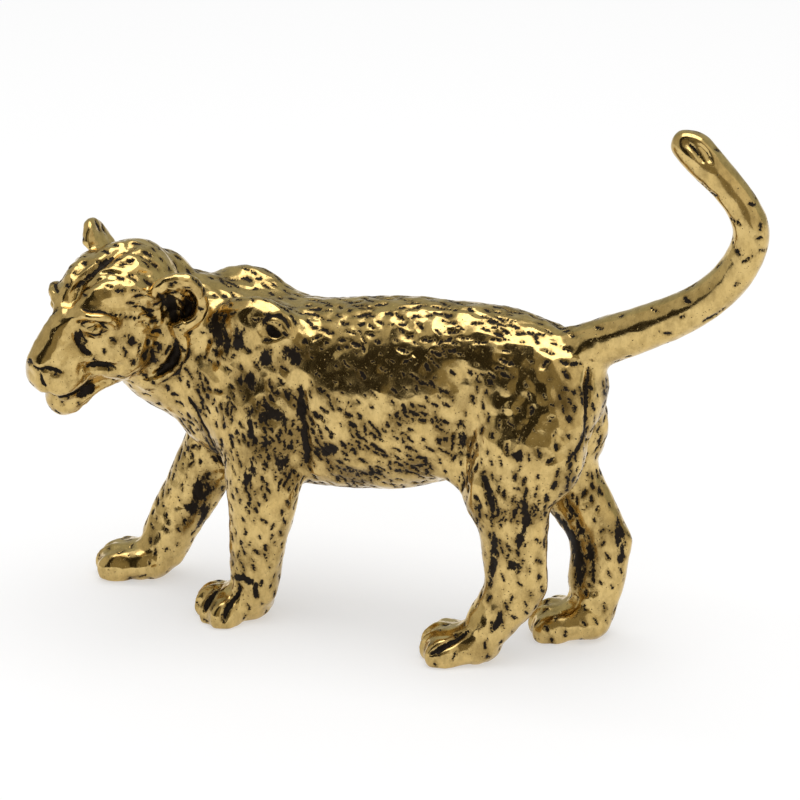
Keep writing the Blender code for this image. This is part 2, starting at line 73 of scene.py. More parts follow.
# The photograph's view. Pixels are those of its 800 by 800 frame, sizes are mm.
photo = {
    "azimuth": 21,
    "elevation": 21,
    "distance": 300,
    "lookAt": (0, 0, 22.4),
    "lens": 145.8,
    "sensor": 36,
    "pixels": 800,
}


def viewAxes():
    a, e = math.radians(photo["azimuth"]), math.radians(photo["elevation"])
    back = Vector((math.sin(a) * math.cos(e), -math.cos(a) * math.cos(e), math.sin(e)))
    right = Vector((math.cos(a), math.sin(a), 0))
    return right, back.cross(right), back


def eyePoint():
    return onModel(*photo["lookAt"]) + viewAxes()[2] * photo["distance"] * mm


def makeCamera():
    bpy.ops.object.camera_add(location=eyePoint())
    camera = bpy.context.object
    camera.name = "camera"
    camera.rotation_mode = "QUATERNION"
    camera.rotation_quaternion = (-viewAxes()[2]).to_track_quat("-Z", "Y")
    camera.data.lens = photo["lens"]
    camera.data.sensor_width = photo["sensor"]
    camera.data.clip_start = 0.01
    camera.data.clip_end = 20
    bpy.context.scene.camera = camera


def sightLine(x, y):  # from the camera through a pixel of the photograph
    right, up, back = viewAxes()
    perPixel = photo["sensor"] / photo["lens"] / photo["pixels"]
    half = photo["pixels"] / 2
    along = -back + right * (x - half) * perPixel + up * (half - y) * perPixel
    return eyePoint(), along.normalized()


# The head has a frame of its own: X along the muzzle, Y to her left, Z up.
head = {"centre": (-25.1, -4.5, 29.5), "yaw": 61, "pitch": 18.5, "roll": 12}


def headFrame():
    yaw, pitch, roll = (math.radians(head[k]) for k in ("yaw", "pitch", "roll"))
    level = math.cos(pitch)
    forward = Vector((-math.cos(yaw) * level, -math.sin(yaw) * level, -math.sin(pitch)))
    levelLeft = Vector((math.sin(yaw), -math.cos(yaw), 0))
    levelUp = forward.cross(levelLeft)
    left = levelLeft * math.cos(roll) - levelUp * math.sin(roll)
    basis = Matrix((forward, left, forward.cross(left))).transposed().to_4x4()
    return Matrix.Translation(onModel(*head["centre"])) @ basis


# Skin: a copy of the casting, made so fine that it can be modelled. Sizes are mm.
casting = {
    "merge": 0.001,
    "voxel": 0.14,
    "relax": 4,
    "smoothBody": 45,
    "farFromFace": (7.5, 9.5),
    "abovePaws": (3.5, 5.5),
    "triangles": 197000,
}


def applied(piece, kind, **settings):
    pickOnly(piece)
    modifier = piece.modifiers.new(kind.lower(), kind)
    for name, value in settings.items():
        setattr(modifier, name, value)
    bpy.ops.object.modifier_apply(modifier=modifier.name)


def makeSkin():
    skin = bpy.data.objects.new("lionessSkin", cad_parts["lioness"].data.copy())
    bpy.context.scene.collection.objects.link(skin)
    pickOnly(skin)
    bpy.ops.object.mode_set(mode="EDIT")
    bpy.ops.mesh.select_all(action="SELECT")
    bpy.ops.mesh.remove_doubles(threshold=casting["merge"] * mm)
    bpy.ops.object.mode_set(mode="OBJECT")
    skin.data.materials.clear()
    applied(skin, "SUBSURF", levels=1, render_levels=1)
    applied(skin, "REMESH", mode="VOXEL", voxel_size=casting["voxel"] * mm)
    applied(skin, "SMOOTH", factor=0.5, iterations=casting["relax"])
    print("skin remeshed:", len(skin.data.vertices), "points")
    return skin


# The skin's points are held in one table while the modelling tools work on them.
# co and normal are theirs. dash is how far a point lies outside the nearest tool mark,
# in mm, and starts at unmarked. The groove black and the brown stain run from 0 to 1; besides patina they hold
# painted shade and painted dark reflections from some drawn lines.
unmarked = 0.6


def opened(skin):
    mesh = skin.data
    count = len(mesh.vertices)
    edges = np.empty(len(mesh.edges) * 2, np.int32)
    mesh.edges.foreach_get("vertices", edges)
    edges = edges.reshape(-1, 2)
    ends = np.concatenate((edges[:, 0], edges[:, 1]))
    others = np.concatenate((edges[:, 1], edges[:, 0]))
    places = np.empty(count * 3, np.float32)
    mesh.vertices.foreach_get("co", places)
    table = {
        "skin": skin,
        "co": places.reshape(-1, 3).astype(float),
        "dash": np.full(count, unmarked),
        "grimeAndShade": np.zeros(count),
        "stainAndShade": np.zeros(count),
        "ends": ends,
        "others": others,
        "valence": np.bincount(ends, minlength=count),
    }
    refreshed(table)
    return table


def refreshed(table):  # new normals after the shape has changed
    mesh = table["skin"].data
    mesh.vertices.foreach_set("co", table["co"].astype(np.float32).ravel())
    mesh.update()
    values = np.empty(len(mesh.vertices) * 3, np.float32)
    mesh.vertices.foreach_get("normal", values)
    table["normal"] = values.reshape(-1, 3).astype(float)
    table["order"] = np.argsort(table["co"][:, 0])
    table["sortedX"] = table["co"][table["order"], 0]


def spread(table, values, passes):  # each point moves halfway to its neighbours' mean
    ends, others, valence = table["ends"], table["others"], table["valence"]

    def around(column):
        return np.bincount(ends, weights=column[others], minlength=len(column)) / valence

    for again in range(passes):
        if values.ndim == 1:
            mean = around(values)
        else:
            mean = np.stack([around(values[:, k]) for k in range(3)], axis=1)
        values = 0.5 * (values + mean)
    return values


def near(table, low, high):  # the points inside a box
    first, last = np.searchsorted(table["sortedX"], (low[0], high[0]))
    found = table["order"][first:last]
    here = table["co"][found]
    return found[((here[:, 1:] > low[1:]) & (here[:, 1:] < high[1:])).all(1)]


def drawnPlaces(table):  # every point in mm in the drawing, and in the head's frame
    inDrawing = table["co"] / mm - np.array(moved)
    back = np.array(headFrame().inverted())
    inHead = (table["co"] @ back[:3, :3].T + back[:3, 3]) / mm
    return inDrawing, inHead


def step(values, low, high):  # 0 below low, 1 above high, smooth between
    t = ((values - low) / (high - low)).clip(0, 1)
    return t * t * (3 - 2 * t)


def waves(places, size, seed, stretch=(1, 1, 1), count=36):
    # Smooth noise with humps about one size, in mm: crossing waves of random heading.
    rng = np.random.default_rng(seed)
    heading = rng.normal(size=(count, 3))
    heading /= np.linalg.norm(heading, axis=1)[:, None]
    each = 2 * math.pi / (size * rng.uniform(0.75, 1.4, count))
    turn = heading * each[:, None] / np.array(stretch)
    start = rng.uniform(0, 2 * math.pi, count)
    total = np.zeros(len(places))
    for k, lag in zip(turn, start):
        total += np.cos(places @ k + lag)
    return total * (2 / count) ** 0.5


# The worked surface: uneven from casting and polishing, most of all along the back.
surface = {
    "broad": (3.6, 0.035),  # these four are the size and the height of the humps, in mm
    "hammered": (1.4, 0.018),
    "backRipple": (0.9, 0.022),
    "faceRipple": (0.75, 0.013),
    "alongBack": (1.8, 1, 1),
    "backBand": (29.5, 31.5),  # heights at which the back's ripple sets in
    "rippleEnds": (17, 20),  # and where it ends at the tail
    "offBack": (0.25, 0.75),
    "faceCalm": 0.35,
    "tail": (19, 22),
    "tailCalm": 0.7,
    "face": (7, 9),
    "uneven": ((-12, 6, 27, 5.5), (13.5, 6, 26, 5)),  # shoulders and haunches, and their reach
    "moreThere": 1.4,
}


def smoothBody(table):  # takes out the facets of the casting, away from the face and the paws
    inDrawing, inHead = drawnPlaces(table)
    plain = step(np.linalg.norm(inHead - np.array((2, 0, 0)), axis=1), *casting["farFromFace"])
    plain *= step(inDrawing[:, 2], *casting["abovePaws"])
    for turn in range(casting["smoothBody"]):
        for sign in (1, -1.02):  # in, and out again, so that it doesn't shrink
            softer = spread(table, table["co"], 1)
            table["co"] += (softer - table["co"]) * (sign * plain)[:, None]
    refreshed(table)


def workSurface(table):
    inDrawing, inHead = drawnPlaces(table)
    onFace = 1 - step(np.linalg.norm(inHead - np.array((3, 0, 0)), axis=1), *surface["face"])
    quiet = 1 - surface["faceCalm"] * onFace
    uneven = np.zeros(len(inDrawing))
    for x, y, z, size in surface["uneven"]:
        for side in (-1, 1):
            away = inDrawing - np.array((x, side * y, z))
            uneven = np.maximum(uneven, np.exp(-(away**2).sum(1) / size**2) * (1 - onFace))

    def humps(name, seed, stretch=(1, 1, 1)):
        size, height = surface[name]
        return height * waves(inDrawing, size, seed, stretch)

    lift = humps("broad", 11) * quiet
    lift += humps("hammered", 12) * (quiet + surface["moreThere"] * uneven)
    lift *= 1 - surface["tailCalm"] * step(inDrawing[:, 0], *surface["tail"])
    onBack = step(inDrawing[:, 2], *surface["backBand"])
    onBack = onBack * (1 - step(inDrawing[:, 0], *surface["rippleEnds"]))
    least, rest = surface["offBack"]
    lift += humps("backRipple", 13, surface["alongBack"]) * (least + rest * onBack)
    lift += humps("faceRipple", 14) * onFace
    table["co"] += table["normal"] * (lift * mm)[:, None]
    refreshed(table)
    print("surface worked")


def smoothLine(points, steps):  # a Catmull-Rom curve through three points or more
    rows = np.array(points, float)
    rows = np.vstack([2 * rows[0] - rows[1], rows, 2 * rows[-1] - rows[-2]])
    made = []
    for i in range(1, len(rows) - 2):
        a, b, c, d = rows[i - 1 : i + 3]
        for t in np.arange(steps) / steps:
            made.append(0.5 * (2 * b + (c - a) * t + (2 * a - 5 * b + 4 * c - d) * t**2
                               + (3 * b - a - 3 * c + d) * t**3))
    made.append(rows[-2])
    return np.array(made)


groove = {"reach": 2.2, "slimmest": 0.04, "endWidth": (0.45, 0.55), "dirtAndShade": 0.94, "dirtAndShadeFall": 0.8}


def press(table, line, width, depth, dark):
    # A groove along the line, in mm wide and deep. A negative depth raises a ridge.
    if len(line) < 3:
        print("a line missed the skin")
        return
    reach = groove["reach"] * width * mm
    found = near(table, line.min(0) - reach, line.max(0) + reach)
    if len(found) == 0:
        return
    gaps = np.linalg.norm(table["co"][found][:, None] - line[None], axis=2)
    nearest = gaps.argmin(1)
    along = nearest / max(len(line) - 1, 1)
    slim = (4 * along * (1 - along)).clip(groove["slimmest"], 1) ** 0.5
    atEnds, more = groove["endWidth"]
    share = (gaps[np.arange(len(found)), nearest] / (width * mm * (atEnds + more * slim))) ** 2
    push = depth * mm * slim * np.exp(-share)
    table["co"][found] -= table["normal"][found] * push[:, None]
    # dark blackens the groove: patina in real grooves, painted shade and painted dark reflections on the lines
    # marked so
    dirtAndShade = groove["dirtAndShade"] * dark * slim**0.5 * np.exp(-groove["dirtAndShadeFall"] * share)
    table["grimeAndShade"][found] = np.maximum(table["grimeAndShade"][found], dirtAndShade)


def onPhoto(tree, pixels, steps=10):  # a line drawn over the photograph, laid on the skin
    laid = []
    for x, y in smoothLine(pixels, steps):
        eye, along = sightLine(x, y)
        hit = tree.ray_cast(eye, along)
        if hit[0] is not None:
            laid.append(hit[0])
    return np.array(laid)


def mirroredOnHead(tree, line):  # the same line on the other side of the face
    space = headFrame()
    back = space.inverted()
    flip = Matrix.Diagonal((1, -1, 1, 1))
    laid = []
    for point in line:
        laid.append(tree.find_nearest(space @ flip @ back @ Vector(point))[0])
    return np.array(laid)


def treeOf(table):
    refreshed(table)
    shape = bmesh.new()
    shape.from_mesh(table["skin"].data)
    tree = BVHTree.FromBMesh(shape)
    shape.free()
    return tree


# Modelled lines, drawn in pixels of the photograph: points, width, depth, darkness.
# The first list is the near half of the face, and is mirrored on to the far half.
faceLines = {
    "brow": ([(76, 298), (93, 291), (110, 284), (130, 283), (148, 287)], 0.65, -0.16, 0),
    "upper lid": ([(81, 313), (91, 317), (104, 318), (114, 322), (117, 330)], 0.3, -0.22, 0),
    "above the lid": ([(80, 308), (90, 311), (104, 312), (119, 317)], 0.22, 0.2, 0.85),
    "under the brow": ([(80, 325), (88, 322), (98, 323), (108, 329)], 0.2, 0.22, 1),
    "under the eye": ([(108, 331), (97, 336), (86, 334)], 0.2, 0.2, 1),
    "eye": ([(93, 329), (97, 328), (101, 329)], 0.26, -0.14, 0),
    "hollow by the nose": ([(75, 330), (78, 341), (85, 351), (93, 355)], 0.36, 0.16, 0.85),
    "hollow by the eye": ([(79, 328), (83, 337), (90, 345)], 0.36, 0.1, 0.75),
    "muzzle bump one": ([(56, 322), (62, 314), (66, 306)], 0.3, -0.08, 0),
    "muzzle bump two": ([(47, 338), (51, 330), (54, 322)], 0.3, -0.08, 0),
    "muzzle crease": ([(62, 350), (72, 345), (78, 352)], 0.26, 0.1, 0.4),
    "slot": ([(85, 367), (100, 365), (117, 368)], 0.38, 0.35, 1),
    "mouth": ([(49, 393), (56, 397), (66, 397), (78, 392), (90, 387), (97, 385)], 0.28, 0.35, 1),
    "corner of the mouth": ([(76, 397), (86, 394), (96, 388)], 0.4, 0.3, 1),
    "wing of the nose": ([(40, 369), (52, 369), (63, 373)], 0.25, 0.25, 0.9),
    "under the nose pad": ([(31, 365), (41, 370), (52, 366)], 0.2, 0.2, 0.9),
}
nearLines = {
    "furrow": ([(69, 296), (80, 284), (93, 272), (107, 261), (119, 252)], 0.34, 0.34, 0.8),
    "furrow branch": ([(98, 274), (110, 272), (122, 276)], 0.28, 0.2, 0.6),
    "forehead one": ([(86, 286), (97, 282), (108, 276)], 0.26, 0.16, 0.5),
    "forehead two": ([(110, 262), (121, 264), (134, 262)], 0.28, 0.18, 0.6),
    "forehead three": ([(124, 252), (138, 254), (150, 262)], 0.26, 0.16, 0.5),
    "forehead four": ([(128, 277), (139, 273), (151, 276)], 0.26, 0.16, 0.5),
    "forehead five": ([(75, 276), (84, 268), (94, 261)], 0.26, 0.16, 0.5),
    "forehead bump one": ([(114, 285), (122, 281), (131, 282)], 0.4, -0.12, 0),
    "forehead bump two": ([(134, 266), (142, 268), (150, 272)], 0.4, -0.12, 0),
    "below the nose": ([(40, 372), (42, 382), (47, 388)], 0.22, 0.25, 0.9),
    "ruff": ([(184, 335), (187, 348), (181, 363), (169, 373), (155, 380), (141, 383)], 0.42, -0.22, 0),
    "ruff groove": ([(174, 337), (176, 353), (169, 366), (155, 376)], 0.4, 0.35, 1),
    "behind the ruff": ([(190, 340), (188, 359), (175, 376), (158, 386)], 0.4, 0.34, 0.75),
    "hair one": ([(132, 298), (142, 296), (153, 299)], 0.22, 0.2, 0.75),
    "hair two": ([(128, 307), (140, 307), (150, 311), (161, 311)], 0.24, 0.24, 0.75),
    "hair three": ([(139, 316), (150, 315), (160, 318)], 0.22, 0.2, 0.75),
    "hair four": ([(133, 326), (143, 323), (153, 327)], 0.22, 0.16, 0.65),
    "hair five": ([(156, 292), (163, 300), (164, 312)], 0.26, 0.24, 0.85),
    "hair six": ([(150, 333), (158, 331), (164, 337)], 0.26, 0.18, 0.7),
    "cheek shade": ([(118, 340), (124, 352), (131, 362)], 0.6, 0.06, 0.45),
    "cheek hollow": ([(150, 345), (154, 358), (148, 370)], 0.6, 0.1, 0.55),
    "temple shade": ([(122, 318), (128, 332), (127, 345)], 0.5, 0.06, 0.45),
    "ear bowl": ([(170, 294), (172, 308), (174, 322)], 0.6, 0.35, 1),
    "ear bowl edge": ([(184, 298), (189, 306), (186, 318)], 0.35, 0.2, 0.9),
    "ear hair one": ([(166, 287), (176, 288), (187, 296)], 0.24, -0.3, 0),
    "ear hair two": ([(170, 295), (180, 297), (189, 306)], 0.22, -0.28, 0),
    "ear hair three": ([(174, 304), (182, 308), (187, 316)], 0.2, -0.26, 0),
    "ear hair four": ([(173, 313), (180, 318), (184, 325)], 0.2, -0.2, 0),
    "ear slit one": ([(168, 291), (178, 292), (188, 301)], 0.14, 0.2, 1),
    "ear slit two": ([(172, 300), (181, 303), (188, 312)], 0.14, 0.2, 1),
    "ear slit three": ([(174, 309), (181, 313), (185, 321)], 0.14, 0.2, 1),
    "elbow crease": ([(302, 382), (301, 412), (304, 440), (306, 472)], 0.62, 0.28, 0.76),
    "armpit": ([(312, 455), (326, 452), (340, 446)], 0.8, 0.12, 0.7),
    # Painted shade along a shallow real crease on the flank.
    "flank crease painted shade": ([(459, 405), (461, 430), (465, 462)], 0.7, 0.2, 0.64),
    "rump crease": ([(589, 361), (587, 394), (584, 438), (563, 468)], 0.34, 0.26, 0.9),
    "shoulder swirl": ([(262, 332), (266, 320), (276, 315), (286, 320), (290, 329)], 0.3, 0.3, 1),
    "swirl core": ([(267, 326), (272, 332), (281, 335)], 0.42, 0.35, 1),
    "shoulder curl": (
        [(266, 400), (253, 405), (249, 418), (252, 436), (262, 445), (276, 440)], 0.6, 0.12, 0.7),
    "neck shadow": ([(216, 306), (214, 322), (218, 342), (213, 363)], 0.8, 0.14, 0.72),
    "neck shadow edge": ([(227, 309), (223, 326), (226, 341), (221, 357)], 0.9, 0.1, 0.68),
    # Painted dark reflections: these shoulder lines blacken the brass where it reflects dark surroundings.
    "shoulder painted reflection one": ([(236, 322), (240, 338), (236, 352)], 1.0, 0.06, 0.68),
    "shoulder painted reflection two": ([(252, 352), (263, 358), (262, 368)], 1.1, 0.08, 0.68),
    "shoulder painted reflection three": ([(284, 345), (292, 358), (290, 372)], 1.1, 0.08, 0.7),
    "shoulder painted reflection four": ([(240, 372), (250, 380), (262, 378)], 1.1, 0.06, 0.66),
    "front toes one": ([(204, 612), (210, 598), (222, 583)], 0.3, 0.4, 1),
    "front toes two": ([(223, 625), (229, 607), (243, 587)], 0.3, 0.4, 1),
    "front ankle": ([(229, 578), (243, 578), (256, 586), (254, 602)], 0.5, 0.12, 0.8),
    "hind toes one": ([(429, 655), (446, 646), (470, 630)], 0.3, 0.4, 1),
    "hind toes two": ([(424, 629), (440, 619), (462, 617)], 0.3, 0.35, 1),
    "hind streak one": ([(480, 468), (490, 495), (494, 520)], 0.5, 0.1, 0.72),
    "hind streak two": ([(494, 530), (495, 550), (491, 572), (488, 590)], 0.6, 0.12, 0.76),
    "hind streak three": ([(514, 492), (524, 512), (522, 535), (514, 556)], 0.75, 0.1, 0.68),
    "hind patch one": ([(512, 450), (518, 457), (524, 462)], 0.75, 0.1, 0.78),
    "hind patch two": ([(509, 560), (516, 566), (524, 568)], 0.75, 0.1, 0.78),
    "heel streak": ([(502, 610), (497, 622), (491, 635)], 0.5, 0.1, 0.8),
    "hind channel": ([(552, 508), (568, 535), (578, 565), (580, 600)], 1.3, 0.14, 0.72),
    "hind channel edge": ([(566, 500), (580, 530), (592, 560), (594, 598)], 0.6, 0.12, 0.7),
    "hind outer patch": ([(616, 520), (622, 542), (621, 568)], 0.7, 0.08, 0.74),
    "belly shade": ([(330, 470), (370, 474), (415, 470)], 0.8, 0.05, 0.6),
    "far front inside": ([(216, 470), (206, 505), (196, 540)], 0.9, 0.12, 0.68),
    # Painted dark reflections on the lower shoulder.
    "shoulder low painted reflection": ([(262, 402), (275, 412), (286, 430)], 1.1, 0.08, 0.66),
    "shoulder lower painted reflection": ([(270, 450), (282, 462), (290, 480)], 1.0, 0.08, 0.64),
    # Painted dark reflection on the chest.
    "chest painted reflection": ([(200, 428), (210, 446), (222, 462)], 0.7, 0.06, 0.66),
    "far front streak": ([(209, 470), (196, 500), (180, 530)], 1.1, 0.12, 0.68),
    "front streak": ([(252, 452), (250, 470), (243, 490)], 0.7, 0.1, 0.76),
    "tuft one": ([(688, 143), (697, 152), (704, 163)], 0.2, 0.24, 0.7),
    "tuft two": ([(697, 143), (706, 152), (712, 163)], 0.18, 0.2, 0.66),
}
chestHair = {  # locks in a row down the chest, in pixels too
    "from": (188, 396),
    "to": (216, 452),
    "count": 9,
    "slant": (10, 13),
    "width": 0.2,
    "depth": 0.16,
}


def drawLines(table):
    tree = treeOf(table)
    for pixels, width, depth, dark in faceLines.values():
        line = onPhoto(tree, pixels)
        for made in (line, mirroredOnHead(tree, line)):
            press(table, made, width, depth, dark)
    for pixels, width, depth, dark in nearLines.values():
        press(table, onPhoto(tree, pixels), width, depth, dark)
    for k in range(chestHair["count"]):
        t = k / (chestHair["count"] - 1)
        x = chestHair["from"][0] + t * (chestHair["to"][0] - chestHair["from"][0])
        y = chestHair["from"][1] + t * (chestHair["to"][1] - chestHair["from"][1])
        dx, dy = chestHair["slant"]
        lock = [(x, y), (x + 0.4 * dx, y + 0.6 * dy), (x + dx, y + 1.3 * dy)]
        press(table, onPhoto(tree, lock), chestHair["width"], chestHair["depth"], 1)
    refreshed(table)
    print("lines drawn")


# Tool marks: short dashes of a small punch, in mm, which follow the lie of the coat.
marks = {
    "seed": 4,
    "apart": 0.78,
    "gap": (0.62, 0.5),
    "length": (0.2, 0.85),
    "longer": (0.5, 28, 31),  # by half on the back, from the one height to the other
    "width": (0.24, 0.5),
    "slimmer": (0.74, 0.26, 10, 17),  # on the legs
    "depth": 0.12,
    "shallow": (0.4, 23.5, 28.5, -9),  # on the upper flank, between heights and behind the shoulder
    "stray": 0.34,
}
coat = {
    "patch": 3.0,
    "clusters": (0.14, 0.86, -0.9, 0.7),
    "shoulder": ((-12.5, 6, 28.5), (5.5, 6, 4), 0.25),  # centre, radii and the share kept
    "thigh": ((14, 6, 23), (6, 6, 6), 0.2),
    "rubbed": ((-2, 8, 26.3), (9, 4, 2.6), 0.3),  # upper flank
    "back": (0.35, 27.5, 29.5),
    "legs": (0.45, 0.55, 10, 17),
    "paws": (0.12, 0.88, 3.2, 5.5),
    "heights": (0, 15, 22, 28, 31),  # and how far the hair falls and lies back there
    "falls": (-1, -1, -0.85, -0.5, -0.05),
    "liesBack": (0.15, 0.3, 0.75, 1, 1),
    "haunchHeights": (0, 12, 20, 27),
    "haunchLiesBack": (0.25, 0.15, -0.25, 0.4),
    "shoulderLiesBack": 0.55,
}
ear = np.array((-1.2, 6.3, 3.6))  # in the head's frame
cheekPits = (  # pixels, and a radius in pixels
    (132, 342, 4), (149, 342, 3), (146, 356, 5), (134, 363, 3), (143, 369, 3), (104, 351, 2),
    (62, 403, 2), (68, 398, 2), (160, 348, 3), (155, 362, 3), (140, 350, 2), (126, 354, 2),
)
pit = {"pixelsPerMm": 5.4, "length": 0.8, "width": 0.9, "depth": 0.14}


def coatDensity(inDrawing, inHead):  # how thickly the marks stand, from 0 to 1
    x, y, z = inDrawing[:, 0], np.abs(inDrawing[:, 1]), inDrawing[:, 2]
    least, rest, low, high = coat["clusters"]
    dense = least + rest * step(waves(inDrawing, coat["patch"], 21), low, high)

    def thin(centre, radii, keep):
        away = (((x - centre[0]) / radii[0]) ** 2 + ((y - centre[1]) / radii[1]) ** 2
                + ((z - centre[2]) / radii[2]) ** 2)
        dense[:] *= keep + (1 - keep) * (1 - np.exp(-away**2))

    def above(name):
        least, rest, low, high = coat[name]
        return least + rest * step(z, low, high)

    thin(*coat["shoulder"])
    thin(*coat["thigh"])
    less, low, high = coat["back"]
    dense *= 1 - less * step(z, low, high)
    dense *= above("legs")
    thin(*coat["rubbed"])
    dense[(x > 17.5) & (z > 27.5)] *= 0.02  # tail
    dense *= above("paws")
    dense[z < 0.3] = 0  # soles
    ahead = inHead[:, 0]
    onHead = np.linalg.norm(inHead - np.array((3, 0, 0)), axis=1) < 9
    dense[onHead] *= 0.6 - 0.5 * step(ahead[onHead], 0.5, 3)
    dense[onHead & (ahead > 6)] *= 0.1
    eitherSide = np.abs(inHead * np.array((0, 1, 0))) + inHead * np.array((1, 0, 1))
    dense[np.linalg.norm(eitherSide - ear, axis=1) < 4.2] *= 0.05
    return dense


def coatFlow(x, z):  # the way the hair lies: along the back, slanted on the side, down the legs
    down = np.interp(z, coat["heights"], coat["falls"])
    back = np.interp(z, coat["heights"], coat["liesBack"])
    if x > 7 and z < 27:  # haunch and hind leg
        back = np.interp(z, coat["haunchHeights"], coat["haunchLiesBack"])
        down = -1
    if x < -7 and z < 27:  # shoulder and front leg
        back *= coat["shoulderLiesBack"]
    return np.array((back, 0, down))


def dashAt(table, rng, here, flow, length, width, depth):  # a few overlapping pricks in a row
    half = 0.5 * length * mm
    reach = half + 0.6 * mm
    found = near(table, here - reach, here + reach)
    across = np.cross(flow, rng.normal(size=3))
    across /= np.linalg.norm(across) + 1e-9
    for part in np.linspace(-1, 1, 2 + int(length > 0.4) + int(length > 0.6)):
        size = width * rng.uniform(0.55, 1) * (1 - 0.35 * abs(part))
        middle = here + flow * (half * part * rng.uniform(0.7, 1.1))
        middle = middle + across * (rng.normal(0, 0.16) * width * mm)
        away = np.linalg.norm(table["co"][found] - middle, axis=1) / mm
        table["dash"][found] = np.minimum(table["dash"][found], away - 0.5 * size)
        dent = depth * np.exp(-((away / (0.7 * size)) ** 2))
        table["push"][found] = np.maximum(table["push"][found], dent)


def toolMarks(table):
    rng = np.random.default_rng(marks["seed"])
    inDrawing, inHead = drawnPlaces(table)
    chance = coatDensity(inDrawing, inHead)
    table["push"] = np.zeros(len(chance))
    order = rng.permutation(len(chance))
    order = order[rng.random(len(order)) < 0.5 * chance[order]]
    cell, taken, made = marks["apart"] * mm, {}, 0
    nearestGap, moreGap = marks["gap"]
    shortest, longest = marks["length"]
    slimmest, widest = marks["width"]
    for i in order:
        here = table["co"][i]
        key = tuple(np.floor(here / cell).astype(int))
        gap = cell * (nearestGap + moreGap * rng.random()) / max(chance[i], 0.3) ** 0.5
        crowd = [q for a in (-1, 0, 1) for b in (-1, 0, 1) for c in (-1, 0, 1)
                 for q in taken.get((key[0] + a, key[1] + b, key[2] + c), ())]
        if crowd and np.linalg.norm(np.array(crowd) - here, axis=1).min() < gap:
            continue
        taken.setdefault(key, []).append(here)
        up = table["normal"][i]
        x, z = inDrawing[i, 0], inDrawing[i, 2]
        flow = coatFlow(x, z) + rng.normal(0, marks["stray"], 3)
        flow -= up * (flow @ up)
        flow /= np.linalg.norm(flow) + 1e-9
        size = rng.random()
        more, low, high = marks["longer"]
        length = (shortest + (longest - shortest) * size) * (1 + more * step(np.array(z), low, high))
        width = slimmest + (widest - slimmest) * rng.random() ** 1.5
        least, rest, low, high = marks["slimmer"]
        width *= least + rest * step(np.array(z), low, high)
        deep = marks["depth"] * (0.5 + size)
        less, low, high, front = marks["shallow"]
        if low < z < high and x > front:
            deep *= less
        dashAt(table, rng, here, flow, length, width, deep)
        made += 1
    tree = treeOf(table)
    for x, y, radius in cheekPits:
        eye, along = sightLine(x, y)
        hit = tree.ray_cast(eye, along)
        size = radius / pit["pixelsPerMm"]
        long, wide = pit["length"] * size, pit["width"] * size
        dashAt(table, rng, np.array(hit[0]), np.array((0, 0, 1)), long, wide, pit["depth"])
    table["co"] -= table["normal"] * (table["push"] * mm)[:, None]
    refreshed(table)
    print("tool marks:", made)


# Patina gathers in hollows, round the marks, and in soft patches.
ageing = {
    "fine": (6, 0.02, 0.075),  # passes, and how far below its surroundings a point lies, in mm
    "deep": (60, 0.12, 0.5),
    "patches": 3.2,
    "inMark": 0.05,
    "crowdPasses": 40,
    "grimeAndShadeSpread": 12,
    "soften": 4,
}


def gatherPatina(table):
    inDrawing, inHead = drawnPlaces(table)
    hollows = []
    for name in ("fine", "deep"):
        passes, low, high = ageing[name]
        sunk = ((spread(table, table["co"], passes) - table["co"]) * table["normal"]).sum(1) / mm
        hollows.append(step(sunk, low, high))
    crowded = spread(table, (table["dash"] < ageing["inMark"]).astype(float), ageing["crowdPasses"])
    patches = waves(inDrawing, ageing["patches"], 31)
    table["grimeAndShade"] = np.maximum(table["grimeAndShade"], hollows[1] * (0.25 + 0.45 * hollows[0]))
    stainAndShade = 1.2 * hollows[1] + 1.3 * crowded + 0.09 * patches - 0.1
    stainAndShade *= 1 - 0.5 * step(inDrawing[:, 2], *coat["back"][1:])  # the back is handled most
    # Brown also spreads round the drawn dark lines: tarnish round real grooves, painted shade and painted dark
    # reflections round the rest.
    stainAndShade += 0.8 * spread(table, table["grimeAndShade"], ageing["grimeAndShadeSpread"])
    stainAndShade[(inDrawing[:, 0] > 18) & (inDrawing[:, 2] > 28)] *= 0.3  # and so is the tail
    table["stainAndShade"] = spread(table, stainAndShade.clip(0, 1), ageing["soften"])
    print("patina gathered")


def lightened(table):  # fewer triangles where the skin is plain, and the patina carried over
    skin = table["skin"]
    refreshed(table)
    for name in ("dash", "grimeAndShade", "stainAndShade"):
        layer = skin.data.attributes.new(name, "FLOAT", "POINT")
        layer.data.foreach_set("value", table[name].astype(np.float32))
    count = sum(len(face.vertices) - 2 for face in skin.data.polygons)
    if count > casting["triangles"]:
        kept = casting["triangles"] / count
        applied(skin, "DECIMATE", ratio=kept, use_collapse_triangulate=True)
    skin.data.shade_smooth()
    print("skin has", len(skin.data.polygons), "triangles")


# Materials


def node(tree, kind, settings=(), links=(), **fields):
    made = tree.nodes.new(kind)
    for name, value in fields.items():
        setattr(made, name, value)
    for name, value in dict(settings).items():
        made.inputs[name].default_value = value
    for name, source in dict(links).items():
        tree.links.new(source, made.inputs[name])
    return made


def noise(tree, place, size, detail, roughness=0.5):  # size in mm
    settings = {"Scale": 1 / (size * mm), "Detail": detail, "Roughness": roughness}
    return node(tree, "ShaderNodeTexNoise", settings, {"Vector": place}).outputs["Fac"]


def span(tree, value, edge, to=(0, 1), **fields):  # from one end of edge to the other
    settings = {"From Min": edge[0], "From Max": edge[1], "To Min": to[0], "To Max": to[1]}
    return node(tree, "ShaderNodeMapRange", settings, {"Value": value}, **fields).outputs[0]


def timesPlus(tree, value, factor, added, **fields):
    made = node(tree, "ShaderNodeMath", {1: factor}, {0: value, 2: added}, operation="MULTIPLY_ADD", **fields)
    return made.outputs[0]


def most(tree, one, other):
    return node(tree, "ShaderNodeMath", {}, {0: one, 1: other}, operation="MAXIMUM").outputs[0]


